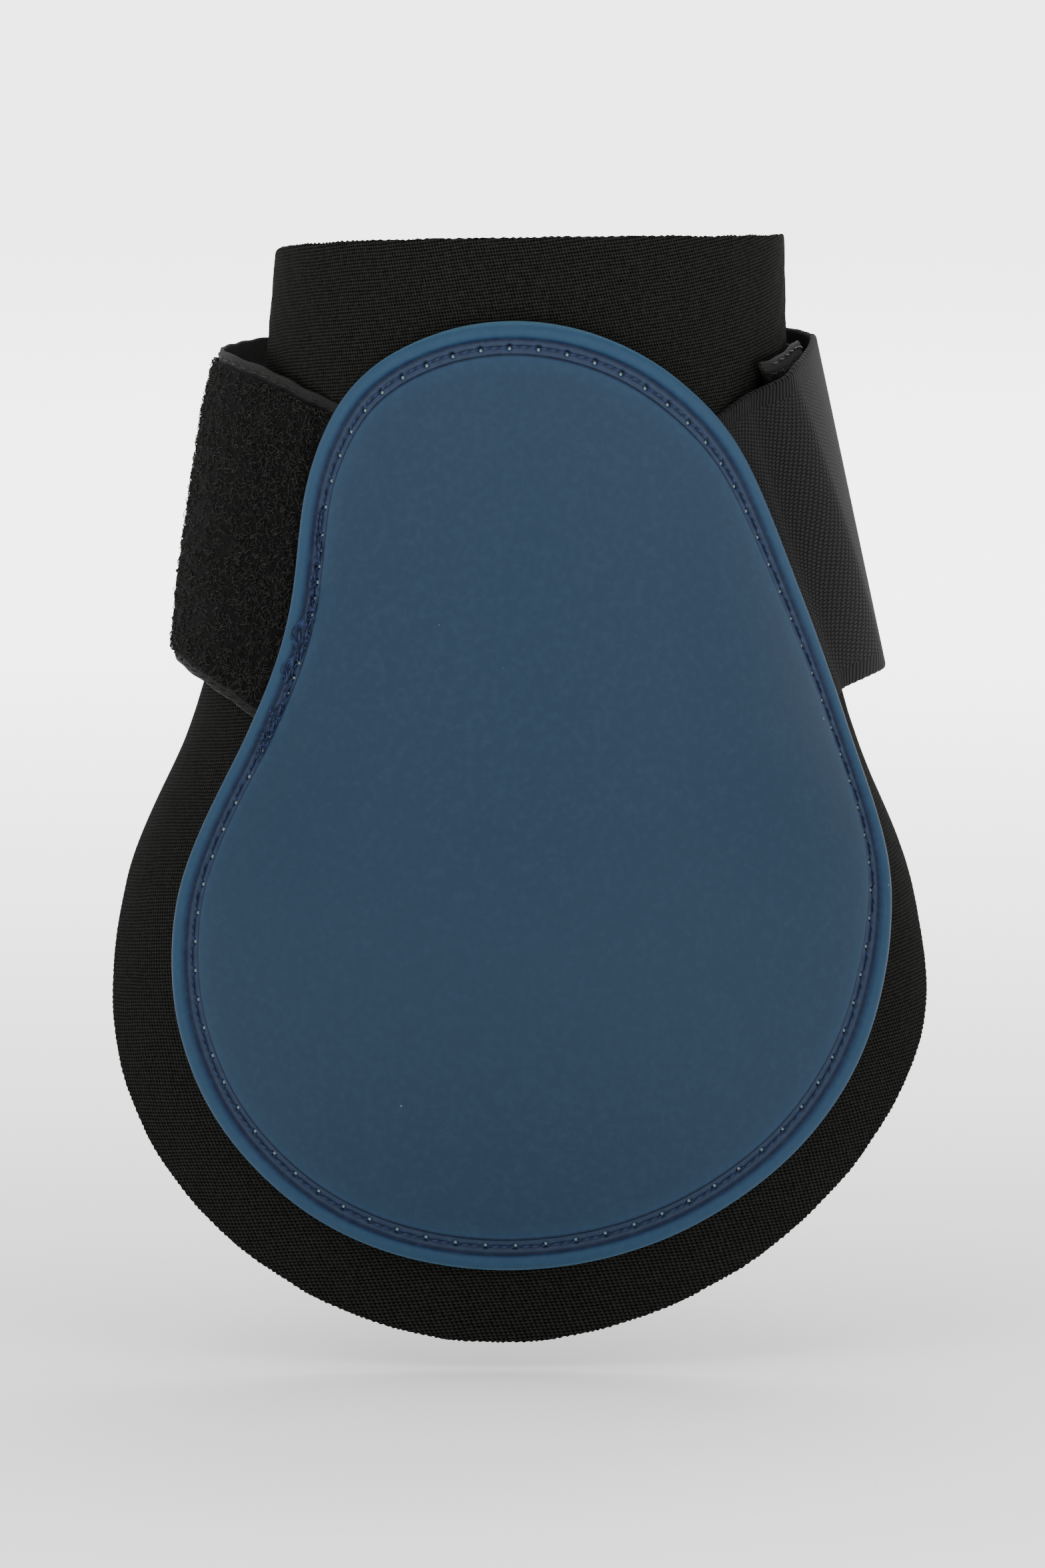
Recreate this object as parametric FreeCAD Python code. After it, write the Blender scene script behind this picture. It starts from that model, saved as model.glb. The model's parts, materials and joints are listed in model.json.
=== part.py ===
"""Hind fetlock boot for a horse: moulded strike shell stitched on a foam liner,
closed by an elastic strap whose hook patch grips a loop-pile strap.

Frame: millimetres, +Z up the leg, -Y the way the shell faces, origin on the
leg's axis at the height of the straps. Angles go round the leg in degrees,
0 at the middle of the front and positive towards +X.
"""
import FreeCAD, Part
import math
import os

V = FreeCAD.Vector

# Liner: height, then how far its outside reaches to -X, to +X and to the front.
GIRTH = [
    (-125.0, 57.0, 55.0, 35.0),
    (-95.0, 62.5, 61.0, 42.5),
    (-75.0, 64.0, 62.5, 45.5),
    (-50.0, 59.0, 56.5, 45.0),
    (-25.0, 48.3, 46.8, 41.0),
    (10.0, 40.0, 39.2, 36.0),
    (50.0, 35.8, 37.2, 34.0),
]
JERSEY = 0.5
LINER = 4.5
GLUE_LINE = 0.03
SEAT_GAP = 0.1

# Outer edges as (angle, height) points on the liner's surface; the cup's line is open above.
SHELL_EDGE = [
    (-3.9, 34.5), (19.4, 31.2), (36.2, 24), (49.8, 14), (59.5, 0), (67.0, -16.5),
    (69.5, -32), (64.5, -48), (56.4, -61), (47, -74), (36.2, -86), (22.7, -95.6),
    (-1.1, -101.7), (-25.8, -95.7), (-38.9, -84.7), (-47, -73), (-53.1, -58),
    (-55, -45.7), (-53.5, -31.5), (-49.6, -19), (-47.5, -5), (-48.2, 9),
    (-41.8, 21.5), (-25.2, 31),
]
CUP_EDGE = [
    (-84, 60), (-83, 0), (-79.5, -46), (-78.9, -52), (-74.8, -63), (-66, -76.6), (-57.2, -87.4),
    (-44.9, -98), (-23, -109.5), (0.9, -112.8), (20.5, -108), (39.2, -97.7),
    (51.7, -86.9), (62.2, -76.2), (73.5, -64), (77.5, -54), (79, -46), (83, 0), (84, 60),
]
FRONT_TOP = 46.3
SPLIT_ANGLE = 74.6
WING_START = 76.8
WING_REAR = 128.0
WING_FOOT = -44.5
WING_FOOT_REAR = 90.0
WING_TOP_BACK = 8.0
FRONT_BLANK = (-89.0, 89.0, -120.0)

# Strike shell; its blank is cut from the liner's shape between these angles and heights.
SHELL_BLANK = (-75.0, 80.0, -112.0, 40.0)
SHELL_FIELD = 2.6
RIM_RISE = 0.6
RIM_WIDTH = 2.3
GROOVE_FLOOR = 2.0
GROOVE_END = 4.6
PAD_INSET = 13.0
PAD_THICK = 1.4
SEAM_INSET = 3.5
STITCHES = 86
STITCH_LENGTH = 3.3
THREAD_RADIUS = 0.35
THREAD_CLEAR = 0.2

# Straps: each lies on a cone about the leg, and leaves the liner at its hinge.
RING_RADIUS = 49.7
RING_TAPER = 0.16
RING_FRONT = 62.0
RING_REAR = 42.7
RING_Y = 8.0
ELASTIC = 1.1
PILE_BACKING = 0.6
PILE_FACE = 0.9
STRAP_GAP = 0.5
HOOK_PATCH = 0.9
HOOK_ROOM = 1.35
ELASTIC_HINGE = 64.2
ELASTIC_HINGE_SLANT = -0.51
PILE_HINGE = -53.0
HINGE_GAP = 1.0
TAIL_WIDTH = 17.0
ELASTIC_TAIL = (-22.5, 21.4)
PILE_TAIL = (-24.0, 21.0)
STRAP_CLEAR = 0.6
ELASTIC_RISE = 14.0
PILE_RISE = 36.0
PILE_END_BACK = 12.0
ELASTIC_KNEE = 110.0
PILE_KNEE = -151.0
PILE_STITCH_END = -271.0
ELASTIC_END = 212.0
PULL_TAB_END = 221.0
HOOK_START = 152.0
HOOK_END = 206.0
HOOK_EDGES = (-17.0, 26.6)
PULL_TAB_FOLD = 0.6
PILE_SELVAGE = 2.2
STRAP_THREAD = 0.2
STRAP_STITCH = 2.0


def smooth(value):
    """Ease from 0 to 1."""
    t = min(1.0, max(0.0, value))
    return t * t * (3.0 - 2.0 * t)


def girth(height, column):
    """One column of GIRTH at a height, as a smooth curve through the rows."""
    rows = GIRTH
    last = len(rows) - 1
    i = 0
    while i < last - 1 and rows[i + 1][0] <= height:
        i += 1

    def slope(k):
        a = rows[max(0, k - 1)]
        b = rows[min(last, k + 1)]
        return (b[column] - a[column]) / (b[0] - a[0])

    span = rows[i + 1][0] - rows[i][0]
    t = (height - rows[i][0]) / span
    near = (2 * t**3 - 3 * t**2 + 1) * rows[i][column] + (t**3 - 2 * t**2 + t) * span * slope(i)
    far = (3 * t**2 - 2 * t**3) * rows[i + 1][column] + (t**3 - t**2) * span * slope(i + 1)
    return near + far


def liner(angle, height, offset):
    """Point on the liner's outer surface, or offset outwards from it."""
    left = girth(height, 1)
    right = girth(height, 2)
    front = girth(height, 3)
    a = math.radians(angle)
    x = (right - left) / 2 + ((left + right) / 2 + offset) * math.sin(a)
    return V(x, -(front + offset) * math.cos(a), height)


def ring(angle, height, offset):
    """Point on the middle of the elastic where it runs free round the leg."""
    a = math.radians(angle)
    radius = RING_RADIUS - RING_TAPER * height
    depth = RING_REAR if math.cos(a) < 0 else RING_FRONT
    centre = -1.8 - 0.053 * height
    y = RING_Y - (depth * radius / RING_RADIUS + offset) * math.cos(a)
    return V(centre + (radius + offset) * math.sin(a), y, height)


def elastic_hinge(height):
    return ELASTIC_HINGE + ELASTIC_HINGE_SLANT * height


def elastic(angle, height, offset):
    """Point on the elastic; offset 0 is its inner face."""
    weight = smooth((angle - elastic_hinge(height)) / ELASTIC_RISE)
    near = liner(angle, height, STRAP_CLEAR + offset)
    far = ring(angle, height, offset - ELASTIC / 2)
    return near * (1 - weight) + far * weight


def pile(angle, height, offset):
    """Point on the pile strap; offset 0 is its inner face, angle runs from -53 down."""
    thick = PILE_BACKING + PILE_FACE
    weight = smooth((PILE_HINGE - angle) / PILE_RISE)
    round_rear = smooth((-90 - angle) / 40.0) * smooth((angle + 275) / 40.0)
    drop = ELASTIC / 2 + STRAP_GAP + thick + HOOK_ROOM * round_rear
    near = liner(angle, height, STRAP_CLEAR + offset)
    far = ring(angle, height, offset - drop)
    inside = elastic(angle + 360, height, offset - STRAP_GAP - thick - HOOK_ROOM * round_rear)
    if angle < -200:
        far = inside
    return near * (1 - weight) + far * weight


def strip(place, angles, heights, low, high):
    """Closed sheet between two offsets; angles(v) and heights(angle) give its ends."""
    first, last = angles(0.5)
    bottom, top = heights(first)
    steps_u = max(9, int(abs(last - first) / 3.2))
    steps_v = max(9, int((top - bottom) / 9.0))

    def face(offset):
        rows = []
        for i in range(steps_u):
            row = []
            for j in range(steps_v):
                v = j / (steps_v - 1)
                start, end = angles(v)
                angle = start + (end - start) * i / (steps_u - 1)
                bottom, top = heights(angle)
                row.append(place(angle, bottom + (top - bottom) * v, offset))
            rows.append(row)
        surface = Part.BSplineSurface()
        surface.interpolate(rows)
        return surface

    inner = face(low)
    outer = face(high)
    faces = [inner.toShape(), outer.toShape()]
    u0, u1, v0, v1 = inner.bounds()
    for one, two in (
        (inner.uIso(u0), outer.uIso(u0)),
        (inner.uIso(u1), outer.uIso(u1)),
        (inner.vIso(v0), outer.vIso(v0)),
        (inner.vIso(v1), outer.vIso(v1)),
    ):
        faces.append(Part.makeRuledSurface(one.toShape(), two.toShape()))
    return closed(faces)


def closed(faces):
    """Solid bounded by faces that meet along their edges."""
    skin = Part.Shell(faces)
    skin.sewShape()
    solid = Part.Solid(skin)
    if solid.Volume < 0:
        solid.reverse()
    return solid


def band(low, high, start, end, bottom, top):
    """Part of the liner's thickness between two angles and two heights."""
    return strip(liner, lambda v: (start, end), lambda angle: (bottom, top), low, high)


def inset(points, distance, count=72):
    """Closed outline on the liner, moved inwards; returns (angle, height) points."""
    flat = [V(angle, height, 0) for angle, height in points]
    curve = Part.BSplineCurve()
    curve.interpolate(Points=flat, PeriodicFlag=True)
    low, high = curve.FirstParameter, curve.LastParameter
    moved = []
    for i in range(count):
        t = low + (high - low) * i / count
        here = curve.value(t)
        along = curve.tangent(t)[0]
        step = 0.01
        wide = (liner(here.x + step, here.y, 0) - liner(here.x, here.y, 0)).Length / step
        tall = (liner(here.x, here.y + step, 0) - liner(here.x, here.y, 0)).Length / step
        across = V(along.y * tall, -along.x * wide, 0)
        across.normalize()
        moved.append((here.x + across.x * distance / wide, here.y + across.y * distance / tall))
    return moved


def wall(outline, low, high, loop=True):
    """Ruled wall that stands on the liner along an outline."""
    rails = []
    for offset in (low, high):
        curve = Part.BSplineCurve()
        places = [liner(angle, height, offset) for angle, height in outline]
        curve.interpolate(Points=places, PeriodicFlag=loop)
        rails.append(curve.toShape())
    return Part.makeRuledSurface(rails[0], rails[1])


def trimmed(blank, outline, keep, loop=True):
    """The piece of a sheet on the same side of a wall as the point keep."""
    pieces = blank.generalFuse([wall(outline, -8.0, 8.0, loop)])[0].Solids
    return min(pieces, key=lambda piece: piece.distToShape(Part.Vertex(keep))[0])


def round_top(angle):
    return FRONT_TOP - 2.0 * (angle / 90.0) ** 2 - (2.6 if angle < 0 else 0.0) * (angle / 90.0) ** 2


def liner_front(low, high):
    """One layer of the liner's front: straight sides above, a cup below."""
    left, right, foot = FRONT_BLANK
    blank = strip(liner, lambda v: (left, right), lambda angle: (foot, round_top(angle)), low, high)
    middle = (low + high) / 2
    cup = trimmed(blank, CUP_EDGE, liner(0, 0, middle), False)
    for side in (-1, 1):
        slot = band(low - 2, high + 2, side * SPLIT_ANGLE, side * 100, WING_FOOT - 1, 60)
        cup = cup.cut(slot)
    return max(cup.Solids, key=lambda piece: piece.Volume)


def wing(side, low, high):
    """One layer of a wing: from the front's side edge round towards the rear."""

    def angles(v):
        rear = WING_FOOT_REAR + (WING_REAR - WING_FOOT_REAR) * smooth(v * 1.35)
        return side * WING_START, side * (rear - WING_TOP_BACK * smooth((v - 0.78) / 0.44))

    return strip(liner, angles, lambda angle: (WING_FOOT, round_top(angle)), low, high)


def stitch_row(outline, offset):
    """Short thread solids laid end to end with gaps along a closed outline on the liner."""
    curve = Part.BSplineCurve()
    curve.interpolate(Points=[liner(a, z, offset) for a, z in outline], PeriodicFlag=True)
    threads = []
    total = curve.length()
    for i in range(STITCHES):
        t = curve.parameterAtDistance(total * i / STITCHES, curve.FirstParameter)
        middle = curve.value(t)
        along = curve.tangent(t)[0]
        start = middle - along * (STITCH_LENGTH / 2)
        threads.append(Part.makeCylinder(THREAD_RADIUS, STITCH_LENGTH, start, along))
    return Part.makeCompound(threads)


def save(name, shape):
    shape.exportStep("parts/" + name + ".step")


def elastic_edges(angle):
    """Bottom and top of the elastic strap at an angle."""
    dip = math.cos(math.radians(angle)) ** 2 if angle < 90 else 0.0
    return -19.4 - 30.0 * dip, 29.0 - 18.6 * dip


def pile_edges(angle):
    """Bottom and top of the pile strap at an angle."""
    dip = math.cos(math.radians(angle)) ** 2 if angle > -90 else 0.0
    return -18.0 - 16.0 * dip, 27.2 - 10.5 * dip


def layer(low, high):
    return low + GLUE_LINE, high - GLUE_LINE


def build_liner():
    core_in = -LINER + JERSEY
    layers = [("outer_jersey", -JERSEY, 0.0), ("foam_core", core_in, -JERSEY)]
    layers.append(("inner_jersey", -LINER, core_in))
    for name, low, high in layers:
        low, high = layer(low, high)
        save("liner_" + name, liner_front(low, high))
        save("left_wing_" + name, wing(-1, low, high))
        save("right_wing_" + name, wing(1, low, high))


def build_shell():
    """Shell with raised rim, stitching groove, pad pocket and room for the strap tails."""
    centre = liner(8, -35, GROOVE_FLOOR)
    blank = band(SEAT_GAP, SHELL_FIELD + RIM_RISE, *SHELL_BLANK)
    shell = trimmed(blank, inset(SHELL_EDGE, 0.0), centre)
    field = band(SHELL_FIELD, 6.0, *SHELL_BLANK)
    shell = shell.cut(trimmed(field, inset(SHELL_EDGE, RIM_WIDTH), centre))
    groove = band(GROOVE_FLOOR, 6.0, *SHELL_BLANK)
    groove = trimmed(groove, inset(SHELL_EDGE, RIM_WIDTH), centre)
    inside = trimmed(band(GROOVE_FLOOR - 1, 7.0, *SHELL_BLANK), inset(SHELL_EDGE, GROOVE_END), centre)
    shell = shell.cut(groove.cut(inside))
    pad_edge = inset(SHELL_EDGE, PAD_INSET)
    pocket = trimmed(band(-1.0, PAD_THICK + GLUE_LINE, *SHELL_BLANK), pad_edge, centre)
    shell = shell.cut(pocket)
    shell = shell.cut(elastic_tail(-1.0, ELASTIC + 2 * GLUE_LINE))
    shell = shell.cut(pile_tail(-1.0, PILE_BACKING + 2 * GLUE_LINE))
    save("strike_shell", max(shell.Solids, key=lambda piece: piece.Volume))
    pad_outline = inset(SHELL_EDGE, PAD_INSET + 0.2)
    pad = trimmed(band(SEAT_GAP, PAD_THICK, *SHELL_BLANK), pad_outline, centre)
    save("impact_pad", pad)


def elastic_tail(low, high):
    def angles(v):
        bottom, top = ELASTIC_TAIL
        edge = elastic_hinge(bottom + (top - bottom) * v) - HINGE_GAP / 2
        return edge - TAIL_WIDTH, edge

    return strip(liner, angles, lambda angle: ELASTIC_TAIL, low, high)


def pile_tail(low, high):
    edge = PILE_HINGE + HINGE_GAP / 2
    return strip(liner, lambda v: (edge, edge + TAIL_WIDTH), lambda angle: PILE_TAIL, low, high)


def build_seam():
    seam = inset(SHELL_EDGE, SEAM_INSET)
    save("shell_seam_thread", stitch_row(seam, GROOVE_FLOOR + THREAD_RADIUS + THREAD_CLEAR))
    save("bobbin_thread", stitch_row(seam, -LINER - THREAD_RADIUS - THREAD_CLEAR))


def strap_piece(name, place, start, end, edges, low, high):
    """Strap sheet between two ends; an end may be an angle or a function of v."""

    def angles(v):
        first = start(v) if callable(start) else start
        second = end(v) if callable(end) else end
        return first, second

    save(name, strip(place, angles, edges, low, high))


def build_elastic():
    def root(v):
        return elastic_hinge(-22.0 + 43.3 * v) + HINGE_GAP / 2

    save("elastic_strap_tail", elastic_tail(SEAT_GAP, ELASTIC))
    knee_gap = HINGE_GAP / 2
    strap_piece("elastic_strap_side", elastic, root, ELASTIC_KNEE - knee_gap, elastic_edges, 0.0, ELASTIC)
    strap_piece("elastic_strap_end", elastic, ELASTIC_KNEE + knee_gap, ELASTIC_END, elastic_edges, 0.0, ELASTIC)
    strap_piece("hook_patch", elastic, HOOK_START, HOOK_END, lambda angle: HOOK_EDGES, -HOOK_PATCH, -GLUE_LINE)
    save("hook_patch_stitches", patch_stitches())
    fold = PULL_TAB_FOLD
    strap_piece("pull_tab", elastic, ELASTIC_END + HINGE_GAP, PULL_TAB_END, elastic_edges, -fold, ELASTIC + fold)


def patch_stitches():
    """Box of stitches round the hook patch, on the elastic's outer face."""
    threads = []
    lift = ELASTIC + STRAP_THREAD + 0.1
    bottom = HOOK_EDGES[0] + 2.0
    top = HOOK_EDGES[1] - 2.0
    for height in (bottom, top):
        for i in range(16):
            angle = HOOK_START + 2.5 + i * 3.2
            here = elastic(angle, height, lift)
            along = elastic(angle + 1.6, height, lift) - here
            threads.append(Part.makeCylinder(STRAP_THREAD, STRAP_STITCH, here, along))
    for angle in (HOOK_START + 1.2, HOOK_END - 1.2):
        for i in range(14):
            here = elastic(angle, bottom + 2.8 * i, lift)
            along = elastic(angle, bottom + 1.0 + 2.8 * i, lift) - here
            threads.append(Part.makeCylinder(STRAP_THREAD, STRAP_STITCH, here, along))
    return Part.makeCompound(threads)


def pile_free_end(v):
    """The free end's slanted edge, which lies inside the elastic."""
    return elastic_hinge(-22.0 + 49.0 * v) + PILE_END_BACK - 360.0


def build_pile():
    save("pile_strap_tail", pile_tail(SEAT_GAP, PILE_BACKING))
    root = PILE_HINGE - HINGE_GAP / 2
    near = PILE_KNEE + HINGE_GAP / 2
    far = PILE_KNEE - HINGE_GAP / 2
    top = PILE_BACKING + PILE_FACE
    backing = (0.0, PILE_BACKING - GLUE_LINE)
    face = (PILE_BACKING, top)

    def face_edges(angle):
        low, high = pile_edges(angle)
        return low + PILE_SELVAGE, high - PILE_SELVAGE

    strap_piece("pile_backing_side", pile, root, near, pile_edges, *backing)
    strap_piece("pile_backing_end", pile, far, pile_free_end, pile_edges, *backing)
    strap_piece("pile_face_side", pile, root, near, face_edges, *face)
    strap_piece("pile_face_end", pile, far, pile_free_end, face_edges, *face)
    save("pile_side_stitches", pile_stitches(root - 2.0, near + 2.0, 26))
    save("pile_end_stitches", pile_stitches(far - 2.0, PILE_STITCH_END, 33))


def pile_stitches(start, end, count):
    """Two rows that hold the pile tape to its backing, along its plain edges."""
    threads = []
    lift = PILE_BACKING + STRAP_THREAD + 0.07
    for row in range(2):
        for i in range(count):
            angle = start + (end - start) * i / count
            bottom, top = pile_edges(angle)
            height = top - PILE_SELVAGE / 2 if row else bottom + PILE_SELVAGE / 2
            here = pile(angle, height, lift)
            along = pile(angle - 1.0, height, lift) - here
            threads.append(Part.makeCylinder(STRAP_THREAD, STRAP_STITCH, here, along))
    return Part.makeCompound(threads)


os.makedirs("parts", exist_ok=True)
build_liner()
build_shell()
build_seam()
build_elastic()
build_pile()
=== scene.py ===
"""Hind fetlock boot: the finished look, built round its packed frame.

The shell, the liner's layers, the two straps and every row of stitches are
modelled from the same few sizes as the frame: angles go round the leg in
degrees from the middle of the shell, heights and offsets are millimetres.
"""

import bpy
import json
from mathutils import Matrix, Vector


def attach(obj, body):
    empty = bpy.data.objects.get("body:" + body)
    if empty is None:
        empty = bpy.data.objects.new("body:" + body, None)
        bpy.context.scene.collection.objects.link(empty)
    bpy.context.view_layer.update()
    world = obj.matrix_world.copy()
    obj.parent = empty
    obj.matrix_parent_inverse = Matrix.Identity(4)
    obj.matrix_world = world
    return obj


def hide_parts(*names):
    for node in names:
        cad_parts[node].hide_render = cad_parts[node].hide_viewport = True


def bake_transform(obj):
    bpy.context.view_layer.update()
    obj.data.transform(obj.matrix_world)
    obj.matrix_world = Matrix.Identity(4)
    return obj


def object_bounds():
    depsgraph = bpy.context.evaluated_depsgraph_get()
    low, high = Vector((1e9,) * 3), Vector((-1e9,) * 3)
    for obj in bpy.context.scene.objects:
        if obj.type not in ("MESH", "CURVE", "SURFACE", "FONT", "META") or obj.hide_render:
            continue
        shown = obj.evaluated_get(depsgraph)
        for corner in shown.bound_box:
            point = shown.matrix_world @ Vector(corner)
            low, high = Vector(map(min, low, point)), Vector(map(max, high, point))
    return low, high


bl_info = {
    "name": "Fetlock Boot Maker",
    "version": (1, 0, 0),
    "blender": (4, 5, 0),
    "location": "View3D > Sidebar > Boot",
    "description": "Builds a horse's fetlock boot: moulded shell, foam liner and hook-and-loop straps",
    "category": "Add Mesh",
}

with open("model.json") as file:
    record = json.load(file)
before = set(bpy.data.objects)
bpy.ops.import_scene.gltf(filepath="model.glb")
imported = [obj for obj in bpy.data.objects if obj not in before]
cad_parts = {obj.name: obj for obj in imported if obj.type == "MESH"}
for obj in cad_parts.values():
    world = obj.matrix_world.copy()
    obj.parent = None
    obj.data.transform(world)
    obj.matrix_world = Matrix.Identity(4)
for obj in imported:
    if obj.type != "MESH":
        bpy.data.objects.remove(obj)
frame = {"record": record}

import json
import math

import bmesh
import bpy
import numpy as np
from bpy.props import FloatProperty, FloatVectorProperty, IntProperty, PointerProperty
from mathutils import Matrix, Vector

CAD_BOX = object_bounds()
MM = 0.001

# Liner: height, then how far its outside reaches to -X, to +X and to the front.
GIRTH = np.array([
    (-125.0, 57.0, 55.0, 35.0),
    (-95.0, 62.5, 61.0, 42.5),
    (-75.0, 64.0, 62.5, 45.5),
    (-50.0, 59.0, 56.5, 45.0),
    (-25.0, 48.3, 46.8, 41.0),
    (10.0, 40.0, 39.2, 36.0),
    (50.0, 35.8, 37.2, 34.0),
])
JERSEY = 0.5
LINER = 4.5

# Outer edges as (angle, height) points.
SHELL_EDGE = [
    (-3.9, 34.5), (19.4, 31.2), (36.2, 24), (49.8, 14), (59.5, 0), (67.0, -16.5),
    (69.5, -32), (64.5, -48), (56.4, -61), (47, -74), (36.2, -86), (22.7, -95.6),
    (-1.1, -101.7), (-25.8, -95.7), (-38.9, -84.7), (-47, -73), (-53.1, -58),
    (-55, -45.7), (-53.5, -31.5), (-49.6, -19), (-47.5, -5), (-48.2, 9),
    (-41.8, 21.5), (-25.2, 31),
]
LINER_EDGE = [
    (0, 46.3), (30, 46.1), (60, 45.4), (90, 44.3), (110, 43.2), (121, 42), (126, 38.5),
    (127.7, 31), (127.6, 20), (124, 8), (118, -1), (110.5, -10.5), (103, -20), (95.5, -32),
    (88, -45), (80.5, -55), (73.5, -65), (62.2, -76.2), (51.7, -86.9), (39.2, -97.7),
    (20.5, -108), (0.9, -112.8), (-23, -109.5), (-44.9, -98), (-57.2, -87.4), (-66, -76.6),
    (-74.5, -64), (-80, -54), (-86.5, -44), (-93.5, -34), (-101.5, -22), (-110, -11),
    (-118, -1), (-124, 8), (-127.2, 18), (-127.6, 27), (-125.5, 34), (-119, 38),
    (-108, 39.5), (-90, 41.7), (-60, 44.3), (-30, 45.8),
]

# Shell and pad, in millimetres. The centres are the (angle, height) points that the rows close on.
SEAM_INSET = 3.6
GROOVE_FLOOR = 2.3
DENT_RADIUS = 0.27
DENT_DEPTH = 1.1
PRESS_REACH = 0.55
PRESS_DEPTH = 0.06
CROWN = 0.27
FIELD_CENTRE = (6.0, -38.0)
LINER_CENTRE = (3.0, -12.0)
PAD_INSET = 13.3

# Radii of the threads, fibres and hook stems, in metres.
SEAM_THREAD = 0.21 * MM
BOBBIN_THREAD = 0.27 * MM
PATCH_THREAD = 0.16 * MM
TAPE_THREAD = 0.14 * MM
FIBRE = 0.07 * MM
HOOK_STEM = 0.075 * MM

# Straps: sizes in millimetres, places round the leg in degrees. The runs are millimetres to a degree.
RING_RADIUS = 49.7
RING_TAPER = 0.16
RING_FRONT = 62.0
RING_REAR = 42.7
RING_Y = 8.0
ELASTIC = 1.1
PILE_BACKING = 0.6
PILE_FACE = 0.9
STRAP_GAP = 0.5
HOOK_ROOM = 1.35
STRAP_RUN = 0.84
LINER_RUN = 0.78
WEAVE_WIDTH = 47.0
ELASTIC_HINGE = 64.2
ELASTIC_HINGE_SLANT = -0.51
PILE_HINGE = -53.0
STRAP_CLEAR = 0.6
ELASTIC_RISE = 14.0
PILE_RISE = 36.0
PILE_END_BACK = 9.5
PILE_CURL = 0.95
ELASTIC_KNEE = 110.0
PILE_KNEE = -151.0
ELASTIC_SPLIT = 88.0
PILE_SPLIT = -104.0
TAB_FOLD = 212.5
TAB_SPLIT = 206.5
TAB_END = 221.0
STITCH_TURN = 2.9
STITCH_PITCH = 3.4
HOOK_START = 152.0
HOOK_END = 206.0
HOOK_COLUMNS = 44
HOOK_ROWS = 34
HOOK_TURN = 1.19
HOOK_RISE = 1.26
HOOK_TAPE_WIDTH = 0.0436
WING_FOLD = 75.7
WING_REACH = 6.0

# Stage: how far out the floor's glow grows, in metres, and the camera's sensor in millimetres.
GLOW_REACH = 1.6
SENSOR = 36.0


# ---------------------------------------------------------------- surfaces

def smooth(value):
    """Ease from 0 to 1."""
    t = np.clip(value, 0.0, 1.0)
    return t * t * (3.0 - 2.0 * t)


def girth(height):
    """The three reaches of the liner at each height, smooth through GIRTH's rows."""
    z = GIRTH[:, 0]
    slopes = np.empty((len(z), 3))
    slopes[1:-1] = (GIRTH[2:, 1:] - GIRTH[:-2, 1:]) / (z[2:] - z[:-2])[:, None]
    slopes[0] = (GIRTH[1, 1:] - GIRTH[0, 1:]) / (z[1] - z[0])
    slopes[-1] = (GIRTH[-1, 1:] - GIRTH[-2, 1:]) / (z[-1] - z[-2])
    i = np.clip(np.searchsorted(z, height, side="right") - 1, 0, len(z) - 2)
    span = (z[i + 1] - z[i])[..., None]
    t = ((height - z[i]) / (z[i + 1] - z[i]))[..., None]
    near = (2 * t**3 - 3 * t**2 + 1) * GIRTH[i, 1:] + (t**3 - 2 * t**2 + t) * span * slopes[i]
    far = (3 * t**2 - 2 * t**3) * GIRTH[i + 1, 1:] + (t**3 - t**2) * span * slopes[i + 1]
    return near + far


def spread(*values):
    """The values as arrays of one shape."""
    return np.broadcast_arrays(*[np.asarray(v, float) for v in values])


def liner(angle, height, offset):
    """Points on the liner's outer surface, or offset outwards from it, in metres."""
    angle, height, offset = spread(angle, height, offset)
    left, right, front = np.moveaxis(girth(height), -1, 0)
    a = np.radians(angle)
    x = (right - left) / 2 + ((left + right) / 2 + offset) * np.sin(a)
    y = -(front + offset) * np.cos(a)
    return np.stack([x, y, height], -1) * MM


def ring(angle, height, offset):
    """Points on the middle of the elastic where it runs free round the leg."""
    angle, height, offset = spread(angle, height, offset)
    a = np.radians(angle)
    radius = RING_RADIUS - RING_TAPER * height
    depth = np.where(np.cos(a) < 0, RING_REAR, RING_FRONT)
    x = -1.8 - 0.053 * height + (radius + offset) * np.sin(a)
    y = RING_Y - (depth * radius / RING_RADIUS + offset) * np.cos(a)
    return np.stack([x, y, height], -1) * MM


def elastic_hinge(height):
    """Angle at which the elastic lifts off the liner."""
    return ELASTIC_HINGE + ELASTIC_HINGE_SLANT * np.asarray(height, float)


def elastic(angle, height, offset):
    """Points on the elastic; offset 0 is its inner face."""
    angle, height, offset = spread(angle, height, offset)
    weight = smooth((angle - elastic_hinge(height)) / ELASTIC_RISE)[..., None]
    lift = STRAP_CLEAR * smooth((angle - elastic_hinge(height) + 6.0) / 6.0)
    near = liner(angle, height, lift + offset)
    far = ring(angle, height, offset - ELASTIC / 2)
    return near * (1 - weight) + far * weight


def pile(angle, height, offset):
    """Points on the pile strap; offset 0 is its inner face and angle runs down from -36."""
    angle, height, offset = spread(angle, height, offset)
    thick = PILE_BACKING + PILE_FACE
    weight = smooth((PILE_HINGE - angle) / PILE_RISE)[..., None]
    rear = smooth((-90 - angle) / 40.0) * smooth((angle + 275) / 40.0)
    drop = ELASTIC / 2 + STRAP_GAP + thick + HOOK_ROOM * rear
    lift = STRAP_CLEAR * smooth((PILE_HINGE + 6.0 - angle) / 6.0)
    near = liner(angle, height, lift + offset)
    far = ring(angle, height, offset - drop)
    inside = elastic(angle + 360, height, offset - STRAP_GAP - thick - HOOK_ROOM * rear)
    far = np.where((angle < -200)[..., None], inside, far)
    place = near * (1 - weight) + far * weight
    curl = PILE_CURL * (np.clip((height + 4.0) / 24.0, 0.0, 1.0) + smooth((height - 18.0) / 9.0))
    curl = curl * smooth((angle + 128) / 28.0) * smooth((-52 - angle) / 22.0)
    place[..., 0] += curl * MM
    return place


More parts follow.
